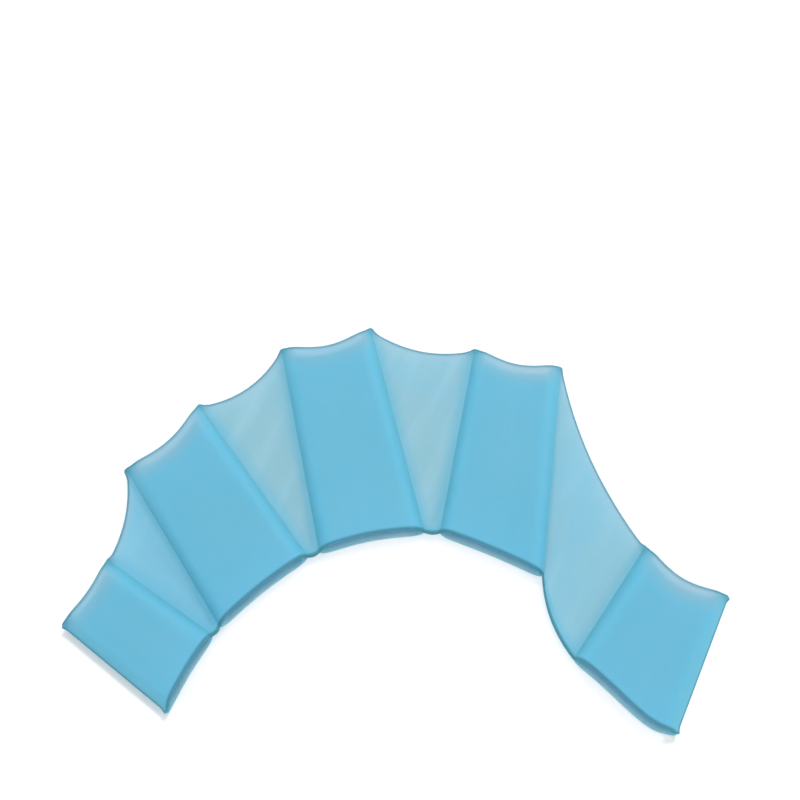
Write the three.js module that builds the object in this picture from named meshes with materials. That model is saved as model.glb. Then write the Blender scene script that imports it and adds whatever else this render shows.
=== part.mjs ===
import * as THREE from 'three';

// A webbed swim glove for the left hand, seen from the back of the hand. It is one moulding of soft
// silicone: five flat sleeves, open at both ends, joined side by side by four thin webs. It lies on
// a flat surface, its fingertip side towards +Y and its thumb towards +X. All lengths are in
// millimetres and all angles in degrees.

// Widths along the palm edge, between folds
const littleWidth = 24.1;
const ringWidth = 31.6;
const middleWidth = 30.7;
const indexWidth = 32.2;
const thumbWidth = 33.7;
const littleWebRoot = 3.5;
const ringWebRoot = 4;
const middleWebRoot = 4.9;
const thumbWebRoot = 25;

// Lengths of the sleeves along their middle
const littleLength = 37.7;
const ringLength = 54.7;
const middleLength = 64.2;
const indexLength = 60.9;
const thumbLength = 40;

// Heights of the sleeves, and how far their tops sink towards the tips, over what run
const littleHeight = 8.4;
const ringHeight = 8.6;
const middleHeight = 8;
const indexHeight = 8;
const thumbHeight = 9.2;
const tipSink = 0.6;
const tipSinkRun = 8;

// Walls, and the folds where they meet: a sleeve's upper wall slopes down to its folds over
// upperTurn, and its lower wall lies flat until it turns up to them over lowerTurn. The hollow ends
// foldSeam before them, and a web thickens to them over webFillet.
const sleeveWall = 1;
const webThickness = 1;
const foldThickness = 1.8;
const foldHeight = 3.6;
const foldSeam = 1.5;
const upperTurn = 7;
const lowerTurn = 4.5;
const webFillet = 3;
const webSag = 1;

// The bead round all edges, the hem on the palm edge of the thumb web, and the ears at the folds' ends
const beadRise = 0.25;
const beadRun = 1.6;
const hemThickness = 2;
const hemRun = 4;
const earLength = 0.9;
const earRun = 1.8;

// How far an edge bows between two folds. A tip edge bows towards the palm, a palm edge of a sleeve
// towards the tips, and that of the thumb web away from them.
const sleeveTipBow = 3;
const webTipBow = 3.6;
const sleevePalmBow = 1;
const thumbWebPalmBow = 2;

// Steps of the mesh: across a wall's turn, the flat of a sleeve, a web, the plain length, and a lip
const turnSteps = 5;
const flatSteps = 4;
const webSteps = 6;
const thumbWebSteps = 10;
const lengthSteps = 4;
const lipSteps = 2;
const edgeRun = 4;
const edgeShares = [0, 0.2, 0.5, 1];

// The palm edge, piece by piece from the little finger. heading is the direction of the straight
// line between a piece's two folds, and tipBow and palmBow are shares of the bows above.
const pieces = [
  { sleeve: true, width: littleWidth, height: littleHeight, heading: 64.3, tipBow: 0.35, palmBow: 0.7 },
  { sleeve: false, width: littleWebRoot, heading: 55.3, tipBow: 0.65, palmBow: 0 },
  { sleeve: true, width: ringWidth, height: ringHeight, heading: 39.4, tipBow: 0.95, palmBow: 1 },
  { sleeve: false, width: ringWebRoot, heading: 21.9, tipBow: 1.1, palmBow: 0 },
  { sleeve: true, width: middleWidth, height: middleHeight, heading: 11.2, tipBow: 1, palmBow: 1.3 },
  { sleeve: false, width: middleWebRoot, heading: 0, tipBow: 1, palmBow: 0 },
  { sleeve: true, width: indexWidth, height: indexHeight, heading: -25, tipBow: 1, palmBow: 0.3 },
  { sleeve: false, width: thumbWebRoot, hem: true, heading: -72, tipBow: 0.9, palmBow: -1 },
  { sleeve: true, width: thumbWidth, height: thumbHeight, heading: -37.7, tipBow: 1.15, palmBow: 0.4 },
];

// The folds in the same order, from the palm edge to the tip edge. length is a share of the length
// of the fold's own sleeve.
const folds = [
  { sleeveLength: littleLength, length: 1.033, heading: 142 },
  { sleeveLength: littleLength, length: 0.967, heading: 145.2 },
  { sleeveLength: ringLength, length: 0.976, heading: 122.2 },
  { sleeveLength: ringLength, length: 1.023, heading: 125.8 },
  { sleeveLength: middleLength, length: 0.99, heading: 101.4 },
  { sleeveLength: middleLength, length: 1.01, heading: 104.1 },
  { sleeveLength: indexLength, length: 0.94, heading: 79 },
  { sleeveLength: indexLength, length: 1.06, heading: 83.3 },
  { sleeveLength: thumbLength, length: 0.959, heading: 55.8 },
  { sleeveLength: thumbLength, length: 1.042, heading: 65.6 },
];

const up = new THREE.Vector3(0, 0, 1);
const lipRun = sleeveWall / 2;
const vertices = [];
const triangles = [];

function direction(degrees) {
  const angle = THREE.MathUtils.degToRad(degrees);
  return new THREE.Vector3(Math.cos(angle), Math.sin(angle), 0);
}

// 1 at an edge or fold, falling smoothly to 0 at the end of the run
function fade(distance, run) {
  return 1 - THREE.MathUtils.smoothstep(distance, 0, run);
}

// How far a wall has turned from a fold, 0, to its flat, 1: along a parabola for an upper wall, and
// a quarter of an ellipse for a lower one
function upperTurned(distance, run) {
  const share = THREE.MathUtils.clamp(distance / run, 0, 1);
  return 1 - (1 - share) ** 2;
}

function lowerTurned(distance, run) {
  return Math.sqrt(upperTurned(distance, run));
}

// How far an ear pushes out, at distances from its fold and from the edge
function ear(fromFold, fromEdge) {
  return earLength * Math.exp(-((fromFold / earRun) ** 2) - (fromEdge / earRun) ** 2);
}

// The palm ends follow each other along the palm edge, and each tip end is a fold's length away.
function layOutFolds() {
  const palmEnd = new THREE.Vector3();
  folds.forEach((fold, i) => {
    fold.palm = palmEnd.clone();
    fold.tip = palmEnd.clone().addScaledVector(direction(fold.heading), fold.sleeveLength * fold.length);
    if (i < pieces.length) {
      palmEnd.addScaledVector(direction(pieces[i].heading), pieces[i].width);
    }
  });
  pieces.forEach((piece, i) => {
    piece.left = folds[i];
    piece.right = folds[i + 1];
    piece.tipWidth = folds[i].tip.distanceTo(folds[i + 1].tip);
  });
}

// A point of one edge: the straight line from fold to fold, bowed to its left. A sleeve's edge
// leaves its folds straight, and a web's edge is a plain curve.
function edgePoint(piece, start, end, across, bow) {
  const left = up.clone().cross(end.clone().sub(start)).normalize();
  const shape = piece.sleeve ? (1 - Math.cos(2 * Math.PI * across)) / 2 : 4 * across * (1 - across);
  return start.clone().lerp(end, across).addScaledVector(left, bow * shape);
}

// The rows' distances from the palm edge: close together at both edges, even in between
function rowDistances(length) {
  const near = edgeShares.map((share) => lipRun + share * edgeRun);
  const far = near.map((distance) => length - distance).reverse();
  const between = [];
  for (let step = 1; step < lengthSteps; step += 1) {
    between.push(THREE.MathUtils.lerp(near.at(-1), far[0], step / lengthSteps));
  }
  return [...near, ...between, ...far];
}

// Columns run from the palm edge to the tip edge. Each is a function that gives its place across
// a piece of some width, as a share. A sleeve's columns start at an inset from both its folds.
function sleeveColumns(firstInset) {
  const insets = [];
  for (let step = 0; step <= turnSteps; step += 1) {
    const angle = (Math.PI / 2) * (step / turnSteps);
    insets.push(THREE.MathUtils.lerp(upperTurn, firstInset, Math.cos(angle)));
  }
  const left = insets.map((inset) => (width) => inset / width);
  const right = insets.map((inset) => (width) => 1 - inset / width).reverse();
  const flat = [];
  for (let step = 1; step < flatSteps; step += 1) {
    flat.push((width) => THREE.MathUtils.lerp(upperTurn, width - upperTurn, step / flatSteps) / width);
  }
  return [...left, ...flat, ...right];
}

function webColumns(steps) {
  const columns = [];
  for (let step = 0; step <= steps; step += 1) {
    columns.push(() => (1 - Math.cos(Math.PI * (step / steps))) / 2);
  }
  return columns;
}

// The stations of one column: each has its place in plan, the direction towards the tips, and its
// distances from the nearest fold and from both edges.
function stations(piece, column) {
  const palmBow = (piece.sleeve ? sleevePalmBow : thumbWebPalmBow) * piece.palmBow;
  const tipBow = (piece.sleeve ? sleeveTipBow : webTipBow) * piece.tipBow;
  const palm = edgePoint(piece, piece.left.palm, piece.right.palm, column(piece.width), palmBow);
  const tip = edgePoint(piece, piece.left.tip, piece.right.tip, column(piece.tipWidth), -tipBow);
  const length = palm.distanceTo(tip);
  const forward = tip.clone().sub(palm).normalize();
  const leftward = up.clone().cross(forward);
  return rowDistances(length).map((fromPalm) => {
    const fromTip = length - fromPalm;
    const width = THREE.MathUtils.lerp(piece.width, piece.tipWidth, fromPalm / length);
    const fromLeft = width * column(width);
    const fromRight = width - fromLeft;
    const place = palm.clone().addScaledVector(forward, fromPalm);
    place.addScaledVector(forward, ear(fromLeft, fromTip) + ear(fromRight, fromTip));
    if (piece.left === folds[0]) {
      place.addScaledVector(leftward, ear(fromLeft, fromTip) + ear(fromLeft, fromPalm));
      place.addScaledVector(forward, -ear(fromLeft, fromPalm));
    }
    if (piece.right === folds.at(-1)) {
      place.addScaledVector(leftward, -ear(fromRight, fromTip) - ear(fromRight, fromPalm));
      place.addScaledVector(forward, -ear(fromRight, fromPalm));
    }
    return { place, forward, fromFold: Math.min(fromLeft, fromRight), fromPalm, fromTip };
  });
}

// Half of the thickness of a web or a fold
function halfThickness(piece, spot) {
  const fillet = (foldThickness - webThickness) * fade(spot.fromFold, webFillet);
  const hem = piece.hem ? (hemThickness - webThickness) * fade(spot.fromPalm, hemRun) : 0;
  return (webThickness + Math.max(fillet, hem)) / 2;
}

function bead(spot) {
  return beadRise * fade(Math.min(spot.fromPalm, spot.fromTip), beadRun);
}

function webMiddle(piece, spot) {
  const share = spot.fromFold / (piece.tipWidth / 2);
  return foldHeight - webSag * share * (2 - share);
}

function sleeveHeight(piece, spot) {
  return piece.height - tipSink * fade(spot.fromTip, tipSinkRun);
}

function outerTop(piece, spot) {
  if (!piece.sleeve) {
    return webMiddle(piece, spot) + halfThickness(piece, spot) + bead(spot) / 2;
  }
  const start = foldHeight + foldThickness / 2;
  const rise = sleeveHeight(piece, spot) - start;
  return start + rise * upperTurned(spot.fromFold, upperTurn) + bead(spot) / 2;
}

function outerBottom(piece, spot) {
  if (!piece.sleeve) {
    return webMiddle(piece, spot) - halfThickness(piece, spot) - bead(spot) / 2;
  }
  const start = foldHeight - foldThickness / 2;
  return start * (1 - lowerTurned(spot.fromFold, lowerTurn));
}

function innerTop(piece, spot) {
  const rise = sleeveHeight(piece, spot) - sleeveWall - foldHeight;
  return foldHeight + rise * upperTurned(spot.fromFold - foldSeam, upperTurn - foldSeam);
}

function innerBottom(piece, spot) {
  const drop = foldHeight - sleeveWall;
  return foldHeight - drop * lowerTurned(spot.fromFold - foldSeam, lowerTurn - foldSeam);
}

function addVertex(point) {
  vertices.push(point.x, point.y, point.z);
  return vertices.length / 3 - 1;
}

function addColumn(piece, column, heightAt) {
  return stations(piece, column).map((spot) => {
    const point = spot.place.clone().setZ(heightAt(piece, spot));
    return { index: addVertex(point), point, forward: spot.forward };
  });
}

// Joins rails of the same number of vertices into a surface
function addSurface(rails, flipped) {
  for (let i = 0; i + 1 < rails.length; i += 1) {
    for (let k = 0; k + 1 < rails[i].length; k += 1) {
      const corners = [rails[i][k], rails[i + 1][k], rails[i + 1][k + 1], rails[i][k + 1]];
      const [a, b, c, d] = flipped ? corners.reverse() : corners;
      triangles.push(a.index, b.index, c.index, a.index, c.index, d.index);
    }
  }
}

// A rounded lip from one surface's edge to another's, bulging outward
function lip(from, to, outward) {
  const middle = from.point.clone().add(to.point).multiplyScalar(0.5);
  const half = from.point.clone().sub(middle);
  const rail = [from];
  for (let step = 1; step < lipSteps; step += 1) {
    const angle = Math.PI * (step / lipSteps);
    const point = middle.clone().addScaledVector(half, Math.cos(angle));
    point.addScaledVector(outward, lipRun * Math.sin(angle));
    rail.push({ index: addVertex(point), point });
  }
  rail.push(to);
  return rail;
}

// Closes the end of a fold: a fan round one middle vertex. left and right are rails from the top
// of the fold to its bottom.
function closeFold(left, right, flipped) {
  const loop = [...left, ...right.slice(1, -1).reverse()];
  const middle = new THREE.Vector3();
  loop.forEach((corner) => middle.addScaledVector(corner.point, 1 / loop.length));
  const centre = addVertex(middle);
  loop.forEach((corner, i) => {
    const next = loop[(i + 1) % loop.length];
    const [a, b] = flipped ? [next, corner] : [corner, next];
    triangles.push(centre, a.index, b.index);
  });
}

// The lips along one end of a row of columns
function endLips(uppers, lowers, end) {
  return uppers.map((upper, i) => {
    const from = upper.at(end.row);
    return lip(from, lowers[i].at(end.row), from.forward.clone().multiplyScalar(end.away));
  });
}

function foldColumn(i, heightAt) {
  return i < pieces.length
    ? addColumn(pieces[i], () => 0, heightAt)
    : addColumn(pieces[i - 1], () => 1, heightAt);
}

function gloveGeometry() {
  layOutFolds();
  const foldTops = folds.map((fold, i) => foldColumn(i, outerTop));
  const foldBottoms = folds.map((fold, i) => foldColumn(i, outerBottom));
  const ends = [
    { row: 0, away: -1, flipped: true, webRails: [], sleeveRails: [] },
    { row: -1, away: 1, flipped: false, webRails: [], sleeveRails: [] },
  ];

  // The two folds that no web joins have a rounded side instead.
  [{ i: 0, side: 1 }, { i: folds.length - 1, side: -1 }].forEach(({ i, side }) => {
    const rails = foldTops[i].map((top, row) => {
      const sideways = up.clone().cross(top.forward).multiplyScalar(side);
      return lip(top, foldBottoms[i][row], sideways);
    });
    addSurface(rails, side < 0);
    ends[0].webRails[i] = rails[0];
    ends[1].webRails[i] = rails.at(-1);
  });

  pieces.forEach((piece, i) => {
    const webWidthSteps = piece.hem ? thumbWebSteps : webSteps;
    const inside = (piece.sleeve ? sleeveColumns(0) : webColumns(webWidthSteps)).slice(1, -1);
    const tops = inside.map((column) => addColumn(piece, column, outerTop));
    const bottoms = inside.map((column) => addColumn(piece, column, outerBottom));
    const allTops = [foldTops[i], ...tops, foldTops[i + 1]];
    const allBottoms = [foldBottoms[i], ...bottoms, foldBottoms[i + 1]];
    addSurface(allTops, false);
    addSurface(allBottoms, true);
    if (!piece.sleeve) {
      ends.forEach((end) => {
        const rails = endLips(allTops, allBottoms, end);
        addSurface(rails, end.flipped);
        end.webRails[i] = rails[0];
        end.webRails[i + 1] = rails.at(-1);
      });
      return;
    }
    const hollow = sleeveColumns(foldSeam);
    const ceilings = hollow.map((column) => addColumn(piece, column, innerTop));
    const floors = hollow.slice(1, -1).map((column) => addColumn(piece, column, innerBottom));
    const allFloors = [ceilings[0], ...floors, ceilings.at(-1)];
    addSurface(ceilings, true);
    addSurface(allFloors, false);
    ends.forEach((end) => {
      const upperRails = endLips(allTops, ceilings, end);
      const lowerRails = endLips(allFloors, allBottoms, end);
      addSurface(upperRails, end.flipped);
      addSurface(lowerRails, end.flipped);
      end.sleeveRails[i] = [...upperRails[0], ...lowerRails[0].slice(1)];
      end.sleeveRails[i + 1] = [...upperRails.at(-1), ...lowerRails.at(-1).slice(1)];
    });
  });

  ends.forEach((end) => {
    folds.forEach((fold, i) => {
      const sleeveOnRight = i < pieces.length && pieces[i].sleeve;
      const rails = [end.webRails[i], end.sleeveRails[i]];
      const [left, right] = sleeveOnRight ? rails : rails.reverse();
      closeFold(left, right, !end.flipped);
    });
  });

  const geometry = new THREE.BufferGeometry();
  geometry.setAttribute('position', new THREE.Float32BufferAttribute(vertices, 3));
  geometry.setIndex(triangles);
  geometry.computeVertexNormals();
  return geometry;
}

const silicone = new THREE.MeshStandardMaterial({ color: 0x6cb8da, roughness: 0.45, metalness: 0 });
const glove = new THREE.Mesh(gloveGeometry(), silicone);
glove.name = 'glove';

// The origin is under the middle of the glove.
glove.geometry.computeBoundingBox();
const middle = glove.geometry.boundingBox.getCenter(new THREE.Vector3());
glove.position.set(-middle.x, -middle.y, 0);

const model = new THREE.Group();
model.add(glove);

export default model;
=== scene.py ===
import math
from collections import namedtuple

import bpy
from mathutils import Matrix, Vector


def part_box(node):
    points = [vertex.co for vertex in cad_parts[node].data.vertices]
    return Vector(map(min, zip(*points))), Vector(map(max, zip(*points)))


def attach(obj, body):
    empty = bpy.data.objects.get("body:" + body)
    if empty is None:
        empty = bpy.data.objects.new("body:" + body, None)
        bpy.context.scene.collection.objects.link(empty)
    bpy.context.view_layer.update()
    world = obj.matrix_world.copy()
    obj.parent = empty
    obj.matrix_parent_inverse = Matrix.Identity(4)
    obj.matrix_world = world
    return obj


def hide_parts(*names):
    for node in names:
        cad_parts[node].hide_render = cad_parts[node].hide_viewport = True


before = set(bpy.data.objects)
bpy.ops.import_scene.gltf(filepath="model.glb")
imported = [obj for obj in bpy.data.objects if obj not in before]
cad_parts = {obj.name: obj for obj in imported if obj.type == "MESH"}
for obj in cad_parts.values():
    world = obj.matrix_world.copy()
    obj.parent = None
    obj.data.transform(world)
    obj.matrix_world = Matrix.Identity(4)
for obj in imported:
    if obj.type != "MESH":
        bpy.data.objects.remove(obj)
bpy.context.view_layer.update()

MM = 0.001
UP = Vector((0, 0, 1))
glove_low, glove_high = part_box("glove")
glove_middle = (glove_low + glove_high) / 2


# Camera
# It looks steeply down at the back of the hand from the palm side, as one photographs things
# laid out on a table, and the glove lies in the lower part of the picture.
CAMERA_ELEVATION = 68
CAMERA_DISTANCE = 427.5
PICTURE_SIZE_PX = 800
FOCAL_LENGTH_PX = 1417
SENSOR_WIDTH = 36
AIM_FROM_GLOVE = Vector((0.8, 38.9))
NEAREST_SEEN = 10

camera_data = bpy.data.cameras.new("camera")
camera_data.sensor_fit = "HORIZONTAL"
camera_data.sensor_width = SENSOR_WIDTH
camera_data.lens = SENSOR_WIDTH * FOCAL_LENGTH_PX / PICTURE_SIZE_PX
camera_data.clip_start = NEAREST_SEEN * MM
camera = bpy.data.objects.new("camera", camera_data)
camera_slope = math.radians(CAMERA_ELEVATION)
towards_camera = Vector((0, -math.cos(camera_slope), math.sin(camera_slope)))
aim = Vector((glove_middle.x, glove_middle.y, 0)) + AIM_FROM_GLOVE.to_3d() * MM
camera.location = aim + towards_camera * CAMERA_DISTANCE * MM
camera.rotation_euler = (-towards_camera).to_track_quat("-Z", "Y").to_euler()
bpy.context.collection.objects.link(camera)
bpy.context.scene.camera = camera
bpy.context.scene.view_settings.view_transform = "Standard"


# Table
# A plain white laminated table top, a little satin. It lies a hair below the glove, so that the
# two never share a face.
TABLE_SIZE = 6000
TABLE_GAP = 0.05
TABLE_CORNERS = [(-1, -1), (1, -1), (1, 1), (-1, 1)]
LAMINATE_COLOR = "#FBFBFC"
LAMINATE_ROUGHNESS = 0.45


def linear(hex_color):
    """An sRGB hex colour as linear RGBA."""
    channels = [int(hex_color[i:i + 2], 16) / 255 for i in (1, 3, 5)]
    return [c / 12.92 if c <= 0.04045 else ((c + 0.055) / 1.055) ** 2.4 for c in channels] + [1]


def add_node(tree, kind, inputs=None, **settings):
    """Adds a node, sets its settings, and gives each named or numbered input a value or a link."""
    node = tree.nodes.new(kind)
    for name, value in settings.items():
        setattr(node, name, value)
    for name, value in (inputs or {}).items():
        if isinstance(value, bpy.types.NodeSocket):
            tree.links.new(value, node.inputs[name])
        else:
            node.inputs[name].default_value = value
    return node


def new_material(name):
    """An empty material and its node tree."""
    material = bpy.data.materials.new(name)
    material.use_nodes = True
    material.node_tree.nodes.clear()
    return material, material.node_tree


# White laminate: a melamine surface pressed smooth, so it is pale and softly glossy.
laminate, tree = new_material("white_laminate")
surface = add_node(tree, "ShaderNodeBsdfPrincipled", {
    "Base Color": linear(LAMINATE_COLOR),
    "Roughness": LAMINATE_ROUGHNESS,
})
add_node(tree, "ShaderNodeOutputMaterial", {"Surface": surface.outputs[0]})

half_table = TABLE_SIZE / 2 * MM
table_mesh = bpy.data.meshes.new("table")
table_mesh.from_pydata(
    [(x * half_table, y * half_table, -TABLE_GAP * MM) for x, y in TABLE_CORNERS],
    [],
    [(0, 1, 2, 3)],
)
table_mesh.materials.append(laminate)
table = bpy.data.objects.new("table", table_mesh)
bpy.context.collection.objects.link(table)


# Studio light
# A white tent all round gives an even light, and a soft box high behind the fingertips gives the
# narrow shadow along the little finger's free side. Apart from that shadow, the two burn the table
# out to white.
TENT_COLOR = "#FFFFFF"
TENT_STRENGTH = 0.92
SOFT_BOX_PLACE = (357, 672, 1794)
SOFT_BOX_SIZE = 450
SOFT_BOX_WATTS = 16.5

world = bpy.data.worlds.new("white_tent")
world.use_nodes = True
world.node_tree.nodes.clear()
tent = add_node(world.node_tree, "ShaderNodeBackground", {
    "Color": linear(TENT_COLOR),
    "Strength": TENT_STRENGTH,
})
add_node(world.node_tree, "ShaderNodeOutputWorld", {"Surface": tent.outputs[0]})
bpy.context.scene.world = world
lamp_data = bpy.data.lights.new("back_box", "AREA")
lamp_data.size = SOFT_BOX_SIZE * MM
lamp_data.energy = SOFT_BOX_WATTS
lamp = bpy.data.objects.new("back_box", lamp_data)
lamp.location = Vector(SOFT_BOX_PLACE) * MM
lamp.rotation_euler = lamp.location.to_track_quat("Z", "Y").to_euler()
bpy.context.collection.objects.link(lamp)


# Glove layout
# The glove is laid out along its palm edge, from the little finger to the thumb: sleeves and webs
# in turn, with a fold between each two, and one at either side.
LITTLE_WIDTH = 24.1
RING_WIDTH = 31.6
MIDDLE_WIDTH = 30.7
INDEX_WIDTH = 32.2
THUMB_WIDTH = 33.7
LITTLE_WEB_ROOT = 3.5
RING_WEB_ROOT = 4
MIDDLE_WEB_ROOT = 4.9
THUMB_WEB_ROOT = 25
LITTLE_LENGTH = 37.7
RING_LENGTH = 54.7
MIDDLE_LENGTH = 64.2
INDEX_LENGTH = 60.9
THUMB_LENGTH = 40
LITTLE_HEIGHT = 8.4
RING_HEIGHT = 8.6
MIDDLE_HEIGHT = 8
INDEX_HEIGHT = 8
THUMB_HEIGHT = 9.2
SLEEVE_TIP_BOW = 3
WEB_TIP_BOW = 3.6
SLEEVE_PALM_BOW = 1
WEB_PALM_BOW = 2
SLEEVE_BOW_EASE = 0.25

# Each piece's heading is the direction in degrees from its left fold to its right one, along the
# palm edge. tip_bow and palm_bow are shares of the bows above, and palm_skew takes the palm bow's
# peak towards the right fold. web_share is how pale a piece is: 0 for a sleeve, 1 for the thinnest.
PIECES = [
    {"kind": "sleeve", "width": LITTLE_WIDTH, "height": LITTLE_HEIGHT, "heading": 64.3,
     "tip_bow": 0.4, "palm_bow": 0.6, "web_share": 0},
    {"kind": "web", "width": LITTLE_WEB_ROOT, "heading": 55.3,
     "tip_bow": 0.55, "palm_bow": -0.2, "web_share": 0.28},
    {"kind": "sleeve", "width": RING_WIDTH, "height": RING_HEIGHT, "heading": 39.4,
     "tip_bow": 0.95, "palm_bow": 0.85, "web_share": 0},
    {"kind": "web", "width": RING_WEB_ROOT, "heading": 21.9,
     "tip_bow": 0.95, "palm_bow": -0.2, "web_share": 1},
    {"kind": "sleeve", "width": MIDDLE_WIDTH, "height": MIDDLE_HEIGHT, "heading": 11.2,
     "tip_bow": 1, "palm_bow": 1.3, "web_share": 0},
    {"kind": "web", "width": MIDDLE_WEB_ROOT, "heading": 0,
     "tip_bow": 0.9, "palm_bow": -0.2, "web_share": 1},
    {"kind": "sleeve", "width": INDEX_WIDTH, "height": INDEX_HEIGHT, "heading": -25,
     "tip_bow": 1, "palm_bow": 0.5, "web_share": 0},
    {"kind": "thumb web", "width": THUMB_WEB_ROOT, "heading": -72,
     "tip_bow": 0.9, "palm_bow": -1, "web_share": 0.68},
    {"kind": "sleeve", "width": THUMB_WIDTH, "height": THUMB_HEIGHT, "heading": -37.7,
     "tip_bow": 1.15, "palm_bow": -2.9, "palm_skew": 3.2, "web_share": 0},
]

# Each fold runs from the palm edge to the tip edge. palm_reach is how far it reaches past the palm
# edge's layout, and ear_share how far the ear at its tip stands out, as a share of the longest.
FOLDS = [
    {"length": LITTLE_LENGTH * 1.033, "heading": 142, "palm_reach": 0, "ear_share": 0.8},
    {"length": LITTLE_LENGTH * 0.967, "heading": 145.2, "palm_reach": 1.3, "ear_share": 0.7},
    {"length": RING_LENGTH * 0.976, "heading": 122.2, "palm_reach": 1.5, "ear_share": 1},
    {"length": RING_LENGTH * 1.023, "heading": 125.8, "palm_reach": 1.2, "ear_share": 0.9},
    {"length": MIDDLE_LENGTH * 0.99, "heading": 101.4, "palm_reach": 1.1, "ear_share": 0.4},
    {"length": MIDDLE_LENGTH * 1.01, "heading": 104.1, "palm_reach": 1.1, "ear_share": 1},
    {"length": INDEX_LENGTH * 0.94, "heading": 79, "palm_reach": 1.3, "ear_share": 0.6},
    {"length": INDEX_LENGTH * 1.06, "heading": 83.3, "palm_reach": 0.4, "ear_share": 0.3},
    {"length": THUMB_LENGTH * 0.959, "heading": 55.8, "palm_reach": 0.6, "ear_share": 0.7},
    {"length": THUMB_LENGTH * 1.042, "heading": 65.6, "palm_reach": 0, "ear_share": 0.9},
]


def heading_vector(degrees):
    """A level direction, anticlockwise from +X."""
    angle = math.radians(degrees)
    return Vector((math.cos(angle), math.sin(angle), 0))


palm_end = Vector((0, 0, 0))
for fold, piece in zip(FOLDS, PIECES + [None]):
    forward = heading_vector(fold["heading"])
    fold["palm"] = palm_end - forward * fold["palm_reach"]
    fold["tip"] = palm_end + forward * fold["length"]
    if piece:
        palm_end = palm_end + heading_vector(piece["heading"]) * piece["width"]
for piece, left, right in zip(PIECES, FOLDS, FOLDS[1:]):
    piece["left"], piece["right"] = left, right
    piece["tip_width"] = (left["tip"] - right["tip"]).length

# The outline goes up the first fold, along the tip edges and down the last fold. At each fold's
# tip it turns, and the fold's ear points out of the turn.
outline = [FOLDS[0]["palm"]] + [fold["tip"] for fold in FOLDS] + [FOLDS[-1]["palm"]]
for fold, before, here, after in zip(FOLDS, outline, outline[1:], outline[2:]):
    turn = UP.cross((here - before).normalized() + (after - here).normalized()).normalized()
    fold["ear"] = turn * fold["ear_share"]


# Sleeve and web walls
# Silicone one millimetre thick, moulded all in one. Each sleeve is a flat tube lying on the table,
# and a web hangs between the folds at half of its height. The walls thicken at the folds, at the
# rounded bead that goes round every edge, and at the hem on the palm edge of each web.
SLEEVE_WALL = 1
WEB_THICKNESS = 1
FOLD_THICKNESS = 1.8
FOLD_HEIGHT = 3.6
FOLD_SEAM = 1.5
UPPER_TURN = 7
UPPER_TURN_POWER = 4
LOWER_TURN = 4.5
WEB_FILLET = 3
WEB_SAG = 1
TIP_SINK = 0.6
TIP_SINK_RUN = 8
BEAD_RISE = 0.12
BEAD_RUN = 1.6
HEM_THICKNESS = {"web": 2.4, "thumb web": 2}
HEM_RUN = 4
HEM_EASE = 1.5
EAR_LENGTH = 1.1
EAR_RUN = 1.1
CORNER_ROUND = 1.2
LIP_RUN = SLEEVE_WALL / 2

# Where the silicone looks different: how far from folds, roots, tips, ears, mouths and edges, how
# strongly at a fold, on a lower lip and on a sleeve's floor, and how far folds hold the walls still
FOLD_BAND = {"sleeve": 3, "web": 5, "thumb web": 3}
FOLD_SHARE = {"sleeve": 1, "web": 0.6, "thumb web": 0.5}
ROOT_BAND = {"web": 2.6, "thumb web": 4.2}
# How far from the tip edge the painted highlight and paleness reach.
TIP_BAND = {"sleeve": 8, "web": 3, "thumb web": 3}
EAR_BAND = 1.8
# Painted shade inside a sleeve's mouth is full beyond this distance from the edge.
MOUTH_SHADE_RUN = 1.8
EDGE_BAND = 0.7
# A lower lip takes little of the dark edge colour, which on an upper lip is partly painted shade.
LOWER_LIP_SHARE = 0.15
FLOOR_SHARE = 1
SOFT_RUN = 9

# Steps of the mesh across a wall's turn, the flat of a sleeve, a web, the plain length, an edge and
# a lip. Those of an edge crowd towards it.
TURN_STEPS = 10
FLAT_STEPS = 14
WEB_STEPS = {"web": 16, "thumb web": 36}
LENGTH_STEPS = 36
EDGE_STEPS = 10
EDGE_RUN = 5
EDGE_CROWDING = 1.5
LIP_STEPS = 6

Spot = namedtuple("Spot", "place forward fold from_fold from_palm from_tip")
Corner = namedtuple("Corner", "index point forward")
points = []
faces = []
looks = {name: [] for name in [
    "thickness", "fold", "root", "ear", "edge", "side", "hollow_shade", "tip", "web", "across", "along",
    "softness",
]}


def fade(distance, run):
    """1 at a fold or an edge, falling smoothly to 0 at the end of the run."""
    share = min(max(distance / run, 0), 1)
    return 1 - share * share * (3 - 2 * share)


def upper_turned(distance, run):
    """How far an upper wall has turned from its fold, 0, to its flat, 1: ever more gently."""
    share = min(max(distance / run, 0), 1)
    return 1 - (1 - share) ** UPPER_TURN_POWER


def lower_turned(distance, run):
    """The same for a lower wall, which turns along a quarter of an ellipse."""
    share = min(max(distance / run, 0), 1)
    return math.sqrt(1 - (1 - share) ** 2)


def ear(from_fold, from_edge):
    """How far the rounded ear at a fold's end pushes out."""
    return EAR_LENGTH * math.exp(-(from_fold / EAR_RUN) ** 2 - (from_edge / EAR_RUN) ** 2)


def drawn_in(from_side, from_edge):
    """How far a spot draws in from the side and from the edge, so that a free corner is round."""
    near_side = 1 - min(from_side / CORNER_ROUND, 1)
    near_edge = 1 - min(from_edge / CORNER_ROUND, 1)
    return [
        CORNER_ROUND * near * (1 - math.sqrt(1 - other ** 2 / 2))
        for near, other in [(near_side, near_edge), (near_edge, near_side)]
    ]


def edge_point(piece, start, end, across, bow, skew=1):
    """A point of one edge: the straight line from fold to fold, bowed to its left. A sleeve's bow
    eases a little into its folds, and a skewed one has its peak nearer to the right fold."""
    shape = 4 * across ** skew * (1 - across ** skew)
    if piece["kind"] == "sleeve":
        shape += SLEEVE_BOW_EASE * ((1 - math.cos(2 * math.pi * across)) / 2 - shape)
    return start.lerp(end, across) + UP.cross(end - start).normalized() * bow * shape


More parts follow.
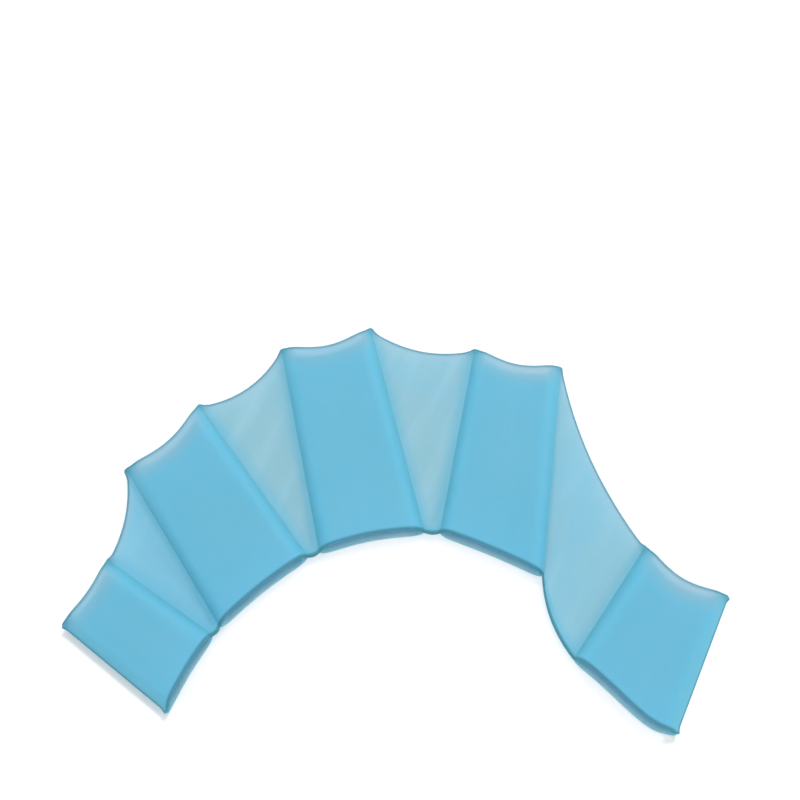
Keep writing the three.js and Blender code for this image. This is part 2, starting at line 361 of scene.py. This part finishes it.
def row_distances(length):
    """The rows' distances from the palm edge: close together at both edges, even in between."""
    near = [
        LIP_RUN + EDGE_RUN * (step / EDGE_STEPS) ** EDGE_CROWDING
        for step in range(EDGE_STEPS + 1)
    ]
    far = [length - distance for distance in reversed(near)]
    gap = (far[0] - near[-1]) / LENGTH_STEPS
    return near + [near[-1] + gap * step for step in range(1, LENGTH_STEPS)] + far


def sleeve_columns(first_inset):
    """Columns of a sleeve's wall, from the palm edge to the tip edge. Each is a function that gives
    its place across a sleeve of some width, as a share. They start at an inset from both folds."""
    insets = [
        UPPER_TURN + (first_inset - UPPER_TURN) * math.cos(math.pi / 2 * step / TURN_STEPS)
        for step in range(TURN_STEPS + 1)
    ]
    left = [lambda width, inset=inset: inset / width for inset in insets]
    right = [lambda width, inset=inset: 1 - inset / width for inset in reversed(insets)]
    shares = [step / FLAT_STEPS for step in range(1, FLAT_STEPS)]
    flat = [
        lambda width, share=share: (UPPER_TURN + (width - 2 * UPPER_TURN) * share) / width
        for share in shares
    ]
    return left + flat + right


def web_columns(steps):
    """Columns of a web, closest together at its folds."""
    shares = [(1 - math.cos(math.pi * step / steps)) / 2 for step in range(steps + 1)]
    return [lambda width, share=share: share for share in shares]


def stations(piece, column):
    """The stations of one column: each has its place in plan, the direction towards the tips, and
    its distances from the nearest fold and from both edges."""
    is_sleeve = piece["kind"] == "sleeve"
    palm_bow = (SLEEVE_PALM_BOW if is_sleeve else WEB_PALM_BOW) * piece["palm_bow"]
    tip_bow = (SLEEVE_TIP_BOW if is_sleeve else WEB_TIP_BOW) * piece["tip_bow"]
    palm_skew = piece.get("palm_skew", 1)
    left, right = piece["left"], piece["right"]
    across_palm, across_tip = column(piece["width"]), column(piece["tip_width"])
    palm = edge_point(piece, left["palm"], right["palm"], across_palm, palm_bow, palm_skew)
    tip = edge_point(piece, left["tip"], right["tip"], across_tip, -tip_bow)
    length = (tip - palm).length
    forward = (tip - palm).normalized()
    leftward = UP.cross(forward)
    spots = []
    for from_palm in row_distances(length):
        from_tip = length - from_palm
        width = piece["width"] + (piece["tip_width"] - piece["width"]) * from_palm / length
        from_left = width * column(width)
        from_right = width - from_left
        place = palm + forward * from_palm
        place += left["ear"] * ear(from_left, from_tip) + right["ear"] * ear(from_right, from_tip)
        for side_fold, here, from_side, outward in [
            (FOLDS[0], left, from_left, leftward),
            (FOLDS[-1], right, from_right, -leftward),
        ]:
            if side_fold is here:
                place += (outward - forward).normalized() * ear(from_side, from_palm)
                for from_edge, away in [(from_tip, forward), (from_palm, -forward)]:
                    in_side, in_edge = drawn_in(from_side, from_edge)
                    place -= outward * in_side + away * in_edge
        fold = left if from_left < from_right else right
        spots.append(Spot(place, forward, fold, min(from_left, from_right), from_palm, from_tip))
    return spots


def bead(spot):
    """How far the bead along an edge stands out of the wall."""
    return BEAD_RISE * fade(min(spot.from_palm, spot.from_tip), BEAD_RUN)


def web_surface(piece, spot, side):
    """Height of a web's upper side (1) or lower side (-1)."""
    share = spot.from_fold / (piece["tip_width"] / 2)
    middle = FOLD_HEIGHT - WEB_SAG * share * (2 - share)
    fillet = (FOLD_THICKNESS - WEB_THICKNESS) * fade(spot.from_fold, WEB_FILLET)
    hem_share = fade(spot.from_palm, HEM_RUN) * (1 - fade(spot.from_fold, HEM_EASE))
    hem = (HEM_THICKNESS[piece["kind"]] - WEB_THICKNESS) * hem_share
    return middle + side * (WEB_THICKNESS + max(fillet, hem) + bead(spot)) / 2


def sleeve_height(piece, spot):
    """Height of a sleeve's upper wall above the table."""
    return piece["height"] - TIP_SINK * fade(spot.from_tip, TIP_SINK_RUN)


def outer_top(piece, spot):
    """Height of the upper outer surface."""
    if piece["kind"] != "sleeve":
        return web_surface(piece, spot, 1)
    start = FOLD_HEIGHT + FOLD_THICKNESS / 2
    rise = sleeve_height(piece, spot) - start
    return start + rise * upper_turned(spot.from_fold, UPPER_TURN) + bead(spot) / 2


def outer_bottom(piece, spot):
    """Height of the lower outer surface, which rests on the table under a sleeve."""
    if piece["kind"] != "sleeve":
        return web_surface(piece, spot, -1)
    return (FOLD_HEIGHT - FOLD_THICKNESS / 2) * (1 - lower_turned(spot.from_fold, LOWER_TURN))


def inner_top(piece, spot):
    """Height of the ceiling of a sleeve's hollow."""
    rise = sleeve_height(piece, spot) - SLEEVE_WALL - FOLD_HEIGHT
    return FOLD_HEIGHT + rise * upper_turned(spot.from_fold - FOLD_SEAM, UPPER_TURN - FOLD_SEAM)


def inner_bottom(piece, spot):
    """Height of the floor of a sleeve's hollow."""
    drop = FOLD_HEIGHT - SLEEVE_WALL
    return FOLD_HEIGHT - drop * lower_turned(spot.from_fold - FOLD_SEAM, LOWER_TURN - FOLD_SEAM)


def wall_thickness(piece, spot, upper):
    """Silicone that one looks through at a spot, down to the next hollow or the table."""
    top, bottom = outer_top(piece, spot), outer_bottom(piece, spot)
    if piece["kind"] != "sleeve" or spot.from_fold <= FOLD_SEAM:
        return top - bottom
    return top - inner_top(piece, spot) if upper else inner_bottom(piece, spot) - bottom


def add_point(point, look):
    """Adds a vertex with what the material and the settling need to know there."""
    points.append(point)
    for name, values in looks.items():
        values.append(look[name])
    return len(points) - 1


def look_of(index):
    """What is known of a vertex."""
    return {name: values[index] for name, values in looks.items()}


def look_at(piece, spot, upper, inner):
    """What the material and the settling need to know at a spot: the silicone that one looks
    through, how near it is to a fold, a web's root, an ear, an edge, a free side and a tip edge, how
    much painted shade it gets deep in a sleeve's mouth, how pale it is, its place across and along
    the piece, and how freely it can settle. A sleeve's floor, seen through its mouth, is a single
    sheet like a web."""
    kind = piece["kind"]
    is_floor = kind == "sleeve" and not upper
    at_side = spot.fold in (FOLDS[0], FOLDS[-1])
    from_edge = min(spot.from_palm, spot.from_tip) - LIP_RUN
    return {
        "thickness": wall_thickness(piece, spot, upper),
        "fold": FOLD_SHARE[kind] * fade(spot.from_fold, FOLD_BAND[kind]),
        "root": fade(spot.from_palm - LIP_RUN, ROOT_BAND[kind]) if kind in ROOT_BAND else 0,
        "ear": math.exp(-(spot.from_fold ** 2 + spot.from_tip ** 2) / EAR_BAND ** 2),
        # Dark along the edges: the thicker bead, and painted shade along the mouths' upper lips.
        "edge": 0 if is_floor else fade(from_edge, EDGE_BAND),
        "side": fade(spot.from_fold, FOLD_BAND[kind]) if at_side else 0,
        # Painted shade: inner surfaces darken away from a mouth's edge.
        "hollow_shade": 1 - fade(from_edge, MOUTH_SHADE_RUN) if inner else 0,
        "tip": fade(spot.from_tip - LIP_RUN, TIP_BAND[kind]),
        "web": FLOOR_SHARE if is_floor else piece["web_share"],
        "across": spot.from_fold,
        "along": spot.from_tip,
        "softness": 0 if is_floor else 1 - fade(spot.from_fold, SOFT_RUN),
    }


def add_column(piece, column, surface):
    """Adds one column of a surface, which is one of the four functions of height above."""
    upper = surface in (outer_top, inner_top)
    inner = surface in (inner_top, inner_bottom)
    corners = []
    for spot in stations(piece, column):
        point = spot.place + UP * surface(piece, spot)
        index = add_point(point, look_at(piece, spot, upper, inner))
        corners.append(Corner(index, point, spot.forward))
    return corners


def add_surface(rails, flipped):
    """Joins rails of the same number of corners into a surface."""
    for rail, next_rail in zip(rails, rails[1:]):
        for k in range(len(rail) - 1):
            face = [rail[k].index, next_rail[k].index, next_rail[k + 1].index, rail[k + 1].index]
            faces.append(face[::-1] if flipped else face)


def lip(start, end, outward, edge_bead_and_shade_share=1):
    """A rounded lip from one surface's edge to another's, bulging outward."""
    middle = (start.point + end.point) / 2
    half = start.point - middle
    first, last = look_of(start.index), look_of(end.index)
    look = {name: (first[name] + last[name]) / 2 for name in looks}
    look["thickness"] = max(first["thickness"], last["thickness"])
    # A lip takes the dark edge colour: its bead, with painted shade on an upper lip.
    look["edge"] = edge_bead_and_shade_share
    rail = [start]
    for step in range(1, LIP_STEPS):
        angle = math.pi * step / LIP_STEPS
        point = middle + half * math.cos(angle) + outward * LIP_RUN * math.sin(angle)
        rail.append(Corner(add_point(point, look), point, start.forward))
    return rail + [end]


def close_fold(left, right, flipped):
    """Closes the end of a fold: a fan round one middle vertex, between two rails from its top to
    its bottom."""
    loop = left + right[-2:0:-1]
    middle = sum((corner.point for corner in loop), Vector((0, 0, 0))) / len(loop)
    centre = add_point(middle, look_of(loop[0].index))
    for corner, next_corner in zip(loop, loop[1:] + loop[:1]):
        face = [centre, corner.index, next_corner.index]
        faces.append(face[::-1] if flipped else face)


def outwards(corners, side):
    """Level directions square to a row of corners, to its left, 1, or to its right, -1."""
    spans = zip(corners[:1] + corners[:-1], corners[1:] + corners[-1:])
    return [UP.cross(after.point - before.point).normalized() * side for before, after in spans]


def end_lips(uppers, lowers, end, at_side=(False, False), edge_bead_and_shade_share=1):
    """The lips along one end of a row of columns. They bulge square to the edge, but at a fold that
    two pieces share, not at the glove's side, they bulge along it."""
    starts = [upper[end["row"]] for upper in uppers]
    finishes = [lower[end["row"]] for lower in lowers]
    directions = outwards(starts, end["away"])
    for is_side, k in zip(at_side, (0, -1)):
        if not is_side:
            directions[k] = starts[k].forward * end["away"]
    return [
        lip(start, finish, direction, edge_bead_and_shade_share)
        for start, finish, direction in zip(starts, finishes, directions)
    ]


def fold_column(i, surface):
    """The column along fold i."""
    if i < len(PIECES):
        return add_column(PIECES[i], lambda width: 0, surface)
    return add_column(PIECES[i - 1], lambda width: 1, surface)


fold_tops = [fold_column(i, outer_top) for i in range(len(FOLDS))]
fold_bottoms = [fold_column(i, outer_bottom) for i in range(len(FOLDS))]
ends = [
    {"row": 0, "away": -1, "flipped": True, "web_rails": {}, "sleeve_rails": {}},
    {"row": -1, "away": 1, "flipped": False, "web_rails": {}, "sleeve_rails": {}},
]

# The two folds that no web joins have a rounded side instead.
for i, side in [(0, 1), (len(FOLDS) - 1, -1)]:
    rails = [
        lip(top, bottom, outward)
        for top, bottom, outward in zip(fold_tops[i], fold_bottoms[i], outwards(fold_tops[i], side))
    ]
    add_surface(rails, side < 0)
    ends[0]["web_rails"][i] = rails[0]
    ends[1]["web_rails"][i] = rails[-1]

for i, piece in enumerate(PIECES):
    is_sleeve = piece["kind"] == "sleeve"
    columns = (sleeve_columns(0) if is_sleeve else web_columns(WEB_STEPS[piece["kind"]]))[1:-1]
    tops = [add_column(piece, column, outer_top) for column in columns]
    bottoms = [add_column(piece, column, outer_bottom) for column in columns]
    tops = [fold_tops[i]] + tops + [fold_tops[i + 1]]
    bottoms = [fold_bottoms[i]] + bottoms + [fold_bottoms[i + 1]]
    add_surface(tops, False)
    add_surface(bottoms, True)
    if is_sleeve:
        hollow = sleeve_columns(FOLD_SEAM)
        ceilings = [add_column(piece, column, inner_top) for column in hollow]
        floors = [add_column(piece, column, inner_bottom) for column in hollow[1:-1]]
        floors = [ceilings[0]] + floors + [ceilings[-1]]
        add_surface(ceilings, True)
        add_surface(floors, False)
    for end in ends:
        if is_sleeve:
            at_side = (i == 0, i == len(PIECES) - 1)
            upper_rails = end_lips(tops, ceilings, end, at_side)
            lower_rails = end_lips(floors, bottoms, end, at_side, LOWER_LIP_SHARE)
            add_surface(upper_rails, end["flipped"])
            add_surface(lower_rails, end["flipped"])
            end["sleeve_rails"][i] = upper_rails[0] + lower_rails[0][1:]
            end["sleeve_rails"][i + 1] = upper_rails[-1] + lower_rails[-1][1:]
        else:
            rails = end_lips(tops, bottoms, end)
            add_surface(rails, end["flipped"])
            end["web_rails"][i] = rails[0]
            end["web_rails"][i + 1] = rails[-1]

for end in ends:
    for i in range(len(FOLDS)):
        rails = [end["web_rails"][i], end["sleeve_rails"][i]]
        sleeve_on_right = i < len(PIECES) and PIECES[i]["kind"] == "sleeve"
        left, right = rails if sleeve_on_right else rails[::-1]
        close_fold(left, right, not end["flipped"])

xs = [point.x for point in points]
ys = [point.y for point in points]
layout_middle = Vector(((min(xs) + max(xs)) / 2, (min(ys) + max(ys)) / 2, 0))
shift = Vector((glove_middle.x, glove_middle.y, 0)) - layout_middle * MM
glove_mesh = bpy.data.meshes.new("glove_skin")
glove_mesh.from_pydata([point * MM + shift for point in points], [], faces)
for name, values in looks.items():
    glove_mesh.attributes.new(name, "FLOAT", "POINT").data.foreach_set("value", values)
glove_mesh.shade_smooth()


# Silicone
# Liquid silicone rubber, tinted blue through and through and moulded in a finely blasted steel
# mould. Light goes into it and spreads, so a web looks pale and greyish, two walls deeper, and an
# edge deepest. Towards the tip edges the sleeves are painted paler: partly one wall over the table,
# partly a painted highlight where the upper wall bends down towards the soft box.
SLEEVE_COLOR = "#60AFC9"
WEB_COLOR = "#7FAFBA"
# Painted highlight, with the paleness of a single wall, towards the tip edges.
TIP_PALE_AND_HIGHLIGHT_COLOR = "#83AAB8"
FOLD_COLOR = "#5CAEC7"
# Dark edges: the bead's thickness, and painted shade along the mouths' upper lips.
EDGE_BEAD_AND_SHADE_COLOR = "#3C7F8E"
# Painted highlight: the wide pale diagonal streaks on the webs.
DIAGONAL_HIGHLIGHT_COLOR = "#9DC3D0"
# Painted shade deep inside a sleeve's mouth.
HOLLOW_SHADE_COLOR = "#3A8AAA"
ABSORPTION_PER_MM = 2.2
WALL_SHADOW = 0.2
SIDE_SHADOW = 1.0
SILICONE_IOR = 1.41
SCATTER_SHARE = 0.8
SCATTER_DEPTH = 2.5
SCATTER_BY_COLOR = (0.5, 1.0, 1.3)

# The blasted mould gives a fine grain, and the pigment a cloudy haze. Streaks follow the flow along
# a web, and wider, paler streaks across the glove, shown on the webs, are painted highlights.
GRAIN_SIZE = 0.5
GRAIN_DEPTH = 0.05
GRAIN_STRENGTH = 0.25
HAZE_SIZE = 22
STREAK_WIDTH = 2.5
STREAK_LENGTH = 40
STREAK_CHANGE = 0.1
# Size and heading of the painted highlight streaks.
DIAGONAL_HIGHLIGHT_WIDTH = 7
DIAGONAL_HIGHLIGHT_LENGTH = 45
DIAGONAL_HIGHLIGHT_HEADING = 65

silicone, tree = new_material("tinted_silicone")
place = add_node(tree, "ShaderNodeTexCoord").outputs["Object"]
look = {
    name: add_node(tree, "ShaderNodeAttribute", attribute_name=name).outputs["Fac"]
    for name in looks
    if name != "softness"
}
lie = add_node(tree, "ShaderNodeCombineXYZ", {
    "X": look["across"], "Y": look["along"], "Z": look["web"],
})
streak_place = add_node(tree, "ShaderNodeMapping", {
    "Vector": lie.outputs[0],
    "Scale": (STREAK_WIDTH, STREAK_LENGTH, STREAK_CHANGE),
}, vector_type="TEXTURE")
diagonal_highlight_place = add_node(tree, "ShaderNodeMapping", {
    "Vector": place,
    "Rotation": (0, 0, math.radians(DIAGONAL_HIGHLIGHT_HEADING)),
    "Scale": (DIAGONAL_HIGHLIGHT_LENGTH * MM, DIAGONAL_HIGHLIGHT_WIDTH * MM, DIAGONAL_HIGHLIGHT_LENGTH * MM),
}, vector_type="TEXTURE")
PATTERNS = [
    {"name": "haze", "place": place, "size": HAZE_SIZE * MM, "detail": 3},
    {"name": "grain", "place": place, "size": GRAIN_SIZE * MM, "detail": 2},
    {"name": "streaks", "place": streak_place.outputs[0], "size": 1, "detail": 2},
    {"name": "diagonal_highlights", "place": diagonal_highlight_place.outputs[0], "size": 1, "detail": 2},
]
noise = {
    row["name"]: add_node(tree, "ShaderNodeTexNoise", {
        "Vector": row["place"], "Scale": 1 / row["size"], "Detail": row["detail"],
    }).outputs["Fac"]
    for row in PATTERNS
}

# How strongly each pattern and place shows: a value in the range "from" gives one in the range "to".
STRENGTHS = [
    {"name": "web_haze", "value": noise["haze"], "from": (0.35, 0.65), "to": (0.65, 1.2)},
    {"name": "web_streaks", "value": noise["streaks"], "from": (0.3, 0.7), "to": (-0.06, 0.12)},
    {"name": "web_diagonal_highlights", "value": noise["diagonal_highlights"], "from": (0.48, 0.72), "to": (0, 0.3)},
    # Patchy strength of the tips' painted highlight and paleness.
    {"name": "tip_pale_and_highlight_haze", "value": noise["haze"], "from": (0.3, 0.7), "to": (1.1, 0.5)},
    {"name": "root", "value": look["root"], "from": (0, 1), "to": (0, 0.8)},
    {"name": "ear", "value": look["ear"], "from": (0, 1), "to": (0, 0.7)},
    {"name": "roughness", "value": noise["haze"], "from": (0.3, 0.7), "to": (0.58, 0.7)},
    {"name": "shadow", "value": look["side"], "from": (0, 1), "to": (WALL_SHADOW, SIDE_SHADOW)},
]
strength = {
    row["name"]: add_node(tree, "ShaderNodeMapRange", {
        "Value": row["value"],
        "From Min": row["from"][0],
        "From Max": row["from"][1],
        "To Min": row["to"][0],
        "To Max": row["to"][1],
    }).outputs[0]
    for row in STRENGTHS
}
web_share = add_node(tree, "ShaderNodeMath", {
    0: look["web"], 1: strength["web_haze"], 2: strength["web_streaks"],
}, operation="MULTIPLY_ADD")
# Painted highlight streaks, on the webs and the sleeves' floors only.
diagonal_highlight_share = add_node(tree, "ShaderNodeMath", {
    0: look["web"], 1: strength["web_diagonal_highlights"],
}, operation="MULTIPLY")
# Painted highlight and paleness towards the tip edges.
tip_pale_and_highlight_share = add_node(tree, "ShaderNodeMath", {
    0: look["tip"], 1: strength["tip_pale_and_highlight_haze"],
}, operation="MULTIPLY")
# Dark edges and ears: bead and knob thickness, with painted shade along the upper lips.
edge_bead_and_shade_share = add_node(tree, "ShaderNodeMath", {
    0: look["edge"], 1: strength["ear"],
}, operation="MAXIMUM")

# The tint starts as a sleeve's, and each share takes it towards another colour.
tint = linear(SLEEVE_COLOR)
for share, hex_color in [
    (web_share.outputs[0], WEB_COLOR),
    # Painted highlight streaks across the webs.
    (diagonal_highlight_share.outputs[0], DIAGONAL_HIGHLIGHT_COLOR),
    # Paler towards the tip edges: painted highlight, and one wall over the table.
    (tip_pale_and_highlight_share.outputs[0], TIP_PALE_AND_HIGHLIGHT_COLOR),
    (strength["root"], FOLD_COLOR),
    (look["fold"], FOLD_COLOR),
    # Painted shade deeper inside the mouths.
    (look["hollow_shade"], HOLLOW_SHADE_COLOR),
    # Darkest at the edges: thick bead, plus painted shade along the mouths' upper lips.
    (edge_bead_and_shade_share.outputs[0], EDGE_BEAD_AND_SHADE_COLOR),
]:
    tint = add_node(tree, "ShaderNodeMix", {
        "Factor": share, "A": tint, "B": linear(hex_color),
    }, data_type="RGBA").outputs["Result"]
relief = add_node(tree, "ShaderNodeBump", {
    "Height": noise["grain"], "Strength": GRAIN_STRENGTH, "Distance": GRAIN_DEPTH * MM,
})
body = add_node(tree, "ShaderNodeBsdfPrincipled", {
    "Base Color": tint,
    "Roughness": strength["roughness"],
    "IOR": SILICONE_IOR,
    "Subsurface Weight": SCATTER_SHARE,
    "Subsurface Radius": SCATTER_BY_COLOR,
    "Subsurface Scale": SCATTER_DEPTH * MM,
    "Normal": relief.outputs[0],
})
clear = add_node(tree, "ShaderNodeBsdfTransparent")

# A wall lets through a share of light that falls with its thickness. A ray meets each wall twice,
# so only the side that it enters by counts. The soft box's light goes through most walls more
# freely, so that shadows stay faint, but not through the glove's two free sides.
absorbed = add_node(tree, "ShaderNodeMath", {
    0: look["thickness"], 1: -ABSORPTION_PER_MM,
}, operation="MULTIPLY")
passed = add_node(tree, "ShaderNodeMath", {0: absorbed.outputs[0]}, operation="EXPONENT")
opacity = add_node(tree, "ShaderNodeMath", {0: 1.0, 1: passed.outputs[0]}, operation="SUBTRACT")
lamp_ray = add_node(tree, "ShaderNodeLightPath").outputs["Is Shadow Ray"]
ray_opacity = add_node(tree, "ShaderNodeMix", {
    "Factor": lamp_ray, "A": opacity.outputs[0], "B": strength["shadow"],
}, data_type="FLOAT").outputs["Result"]
leaving = add_node(tree, "ShaderNodeNewGeometry").outputs["Backfacing"]
entering = add_node(tree, "ShaderNodeMath", {0: 1.0, 1: leaving}, operation="SUBTRACT")
shown = add_node(tree, "ShaderNodeMath", {
    0: ray_opacity, 1: entering.outputs[0],
}, operation="MULTIPLY")
surface = add_node(tree, "ShaderNodeMixShader", {
    0: shown.outputs[0], 1: clear.outputs[0], 2: body.outputs[0],
})
add_node(tree, "ShaderNodeOutputMaterial", {"Surface": surface.outputs[0]})


# Settling
# Soft silicone doesn't lie quite flat: the upper walls and the webs, where nothing holds them, rise
# and sink by a fraction of a millimetre over a finger's width.
WAVE_HEIGHT = 0.25
WAVE_LENGTH = 26
WAVE_SEED = 4.2
WAVE_DETAIL = 1
NOISE_LOW = 0.25
NOISE_HIGH = 0.75

settling = bpy.data.node_groups.new("settled_silicone", "GeometryNodeTree")
socket_ids = {}
for name, kind in [
    ("Geometry", "NodeSocketGeometry"),
    ("Wave height", "NodeSocketFloat"),
    ("Wave length", "NodeSocketFloat"),
    ("Seed", "NodeSocketFloat"),
    ("Silicone", "NodeSocketMaterial"),
]:
    socket = settling.interface.new_socket(name, in_out="INPUT", socket_type=kind)
    socket_ids[name] = socket.identifier
settling.interface.new_socket("Geometry", in_out="OUTPUT", socket_type="NodeSocketGeometry")
given = add_node(settling, "NodeGroupInput").outputs
position = add_node(settling, "GeometryNodeInputPosition")
flattened = add_node(settling, "ShaderNodeVectorMath", {
    0: position.outputs[0], 1: (1, 1, 0),
}, operation="MULTIPLY")
waves_per_metre = add_node(settling, "ShaderNodeMath", {
    0: 1.0, 1: given["Wave length"],
}, operation="DIVIDE")
wave = add_node(settling, "ShaderNodeTexNoise", {
    "Vector": flattened.outputs[0],
    "W": given["Seed"],
    "Scale": waves_per_metre.outputs[0],
    "Detail": WAVE_DETAIL,
}, noise_dimensions="4D")
swing = add_node(settling, "ShaderNodeMapRange", {
    "Value": wave.outputs["Fac"],
    "From Min": NOISE_LOW,
    "From Max": NOISE_HIGH,
    "To Min": -1.0,
    "To Max": 1.0,
})
softness = add_node(settling, "GeometryNodeInputNamedAttribute", {
    "Name": "softness",
}, data_type="FLOAT")
soft_swing = add_node(settling, "ShaderNodeMath", {
    0: swing.outputs[0], 1: softness.outputs[0],
}, operation="MULTIPLY")
rise = add_node(settling, "ShaderNodeMath", {
    0: soft_swing.outputs[0], 1: given["Wave height"],
}, operation="MULTIPLY")
offset = add_node(settling, "ShaderNodeCombineXYZ", {"Z": rise.outputs[0]})
moved = add_node(settling, "GeometryNodeSetPosition", {
    "Geometry": given["Geometry"], "Offset": offset.outputs[0],
})
real = add_node(settling, "GeometryNodeRealizeInstances", {"Geometry": moved.outputs[0]})
finished = add_node(settling, "GeometryNodeSetMaterial", {
    "Geometry": real.outputs[0], "Material": given["Silicone"],
})
add_node(settling, "NodeGroupOutput", {"Geometry": finished.outputs[0]})

glove_skin = bpy.data.objects.new("glove_skin", glove_mesh)
bpy.context.collection.objects.link(glove_skin)
settle = glove_skin.modifiers.new("settle", "NODES")
settle.node_group = settling
settle[socket_ids["Wave height"]] = WAVE_HEIGHT * MM
settle[socket_ids["Wave length"]] = WAVE_LENGTH * MM
settle[socket_ids["Seed"]] = WAVE_SEED
settle[socket_ids["Silicone"]] = silicone
depsgraph = bpy.context.evaluated_depsgraph_get()
settled_mesh = bpy.data.meshes.new_from_object(glove_skin.evaluated_get(depsgraph))
glove_skin.modifiers.clear()
glove_skin.data = settled_mesh
bpy.data.meshes.remove(glove_mesh)
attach(glove_skin, "root")
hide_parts("glove")
